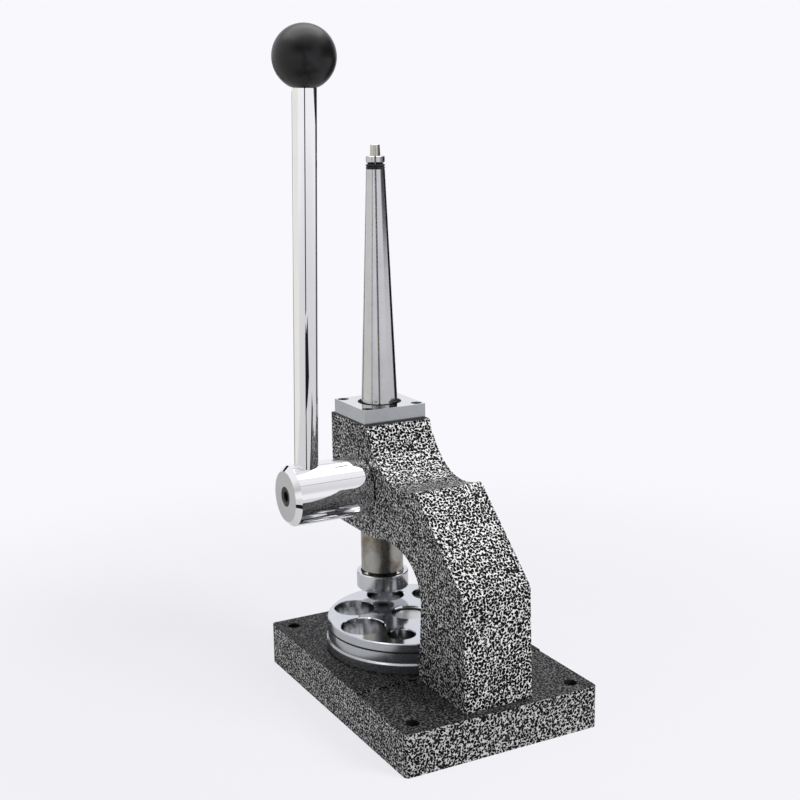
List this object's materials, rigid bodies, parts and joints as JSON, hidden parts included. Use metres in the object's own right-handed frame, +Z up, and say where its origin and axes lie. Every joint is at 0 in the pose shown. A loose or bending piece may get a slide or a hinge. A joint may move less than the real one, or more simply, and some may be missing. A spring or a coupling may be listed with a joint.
{
  "type": "hand lever ring stretcher and reducer",
  "caption": "Bench press on a C-shaped column: a lever drives a split cone mandrel that stretches rings and a pusher over a turning plate of tapered dies that reduces them.",
  "frame": {"origin": "centre of the base's underside, in the middle of the four bench holes", "axes": "+Z up along the mandrel, +X to the side of the lever and hub, -Y towards the person who works it, +Y towards the column"},
  "size_m": [0.1502, 0.195, 0.427],
  "materials": {
    "hammertone_paint": "silver hammertone over black",
    "satin_steel": "satin, fine turned marks",
    "ground_steel": "ground bright",
    "warm_steel": "satin, slightly warm",
    "dark_steel": "oiled, lightly stained",
    "polished_steel": "polished",
    "chrome_plate": "mirror polished",
    "black_oxide": "black oxide, satin",
    "black_rubber": "matte",
    "bronze": "turned",
    "black_plastic": "gloss"
  },
  "bodies": {
    "frame": {"base": "hammertone_paint", "column": "hammertone_paint", "column_bolts": "black_oxide", "top_plate": "satin_steel", "top_plate_screws": "black_oxide", "upper_o_rings": "black_rubber", "foot_o_ring": "black_rubber", "ram_guide_screw": "black_oxide", "right_shaft_bush": "bronze", "left_shaft_bush": "bronze", "die_pivot_pin": "satin_steel", "die_bed": "satin_steel", "index_ball": "polished_steel", "index_spring": "satin_steel", "index_plug": "black_oxide"},
    "lever": {"pinion_shaft": "satin_steel", "shaft_end_washer": "black_oxide", "shaft_end_screw": "black_oxide", "hub": "chrome_plate", "hub_key": "black_oxide", "hub_grub_screw": "black_oxide", "lever_clamp_screw": "black_oxide", "lever_rod": "chrome_plate", "knob_insert": "bronze", "ball_knob": "black_plastic"},
    "ram": {"ram": "dark_steel", "pusher": "polished_steel", "pusher_screw": "black_oxide", "expander_core": "warm_steel", "core_locknut": "black_oxide"},
    "leaf_1": {"mandrel_leaf_1": "ground_steel"},
    "leaf_2": {"mandrel_leaf_2": "ground_steel"},
    "leaf_3": {"mandrel_leaf_3": "ground_steel"},
    "leaf_4": {"mandrel_leaf_4": "ground_steel"},
    "die_plate": {"die_plate": "satin_steel"}
  },
  "joints": [
    {"name": "lever_turn", "type": "hinge", "parent": "frame", "child": "lever", "pos_m": [0.0633, -0.0407, 0.1356], "axis": [1, 0, 0], "range_deg": [-55, 42]},
    {"name": "ram_slide", "type": "slide", "parent": "frame", "child": "ram", "axis": [0, 0, 1], "range_m": [-0.0066, 0.0087]},
    {"name": "leaf_1_slide", "type": "slide", "parent": "frame", "child": "leaf_1", "axis": [0.9511, 0.309, 0], "range_m": [-0.00026, 0.00034]},
    {"name": "leaf_2_slide", "type": "slide", "parent": "frame", "child": "leaf_2", "axis": [-0.309, 0.9511, 0], "range_m": [-0.00026, 0.00034]},
    {"name": "leaf_3_slide", "type": "slide", "parent": "frame", "child": "leaf_3", "axis": [-0.9511, -0.309, 0], "range_m": [-0.00026, 0.00034]},
    {"name": "leaf_4_slide", "type": "slide", "parent": "frame", "child": "leaf_4", "axis": [0.309, -0.9511, 0], "range_m": [-0.00026, 0.00034]},
    {"name": "die_plate_turn", "type": "hinge", "parent": "frame", "child": "die_plate", "pos_m": [0, -0.0205, 0.041], "axis": [0, 0, 1], "continuous": true}
  ],
  "couplings": [
    {"joint": "ram_slide", "follows": "lever_turn", "m_per_rad": -0.009},
    {"joint": "leaf_1_slide", "follows": "lever_turn", "m_per_rad": -0.0003495},
    {"joint": "leaf_2_slide", "follows": "lever_turn", "m_per_rad": -0.0003495},
    {"joint": "leaf_3_slide", "follows": "lever_turn", "m_per_rad": -0.0003495},
    {"joint": "leaf_4_slide", "follows": "lever_turn", "m_per_rad": -0.0003495}
  ]
}
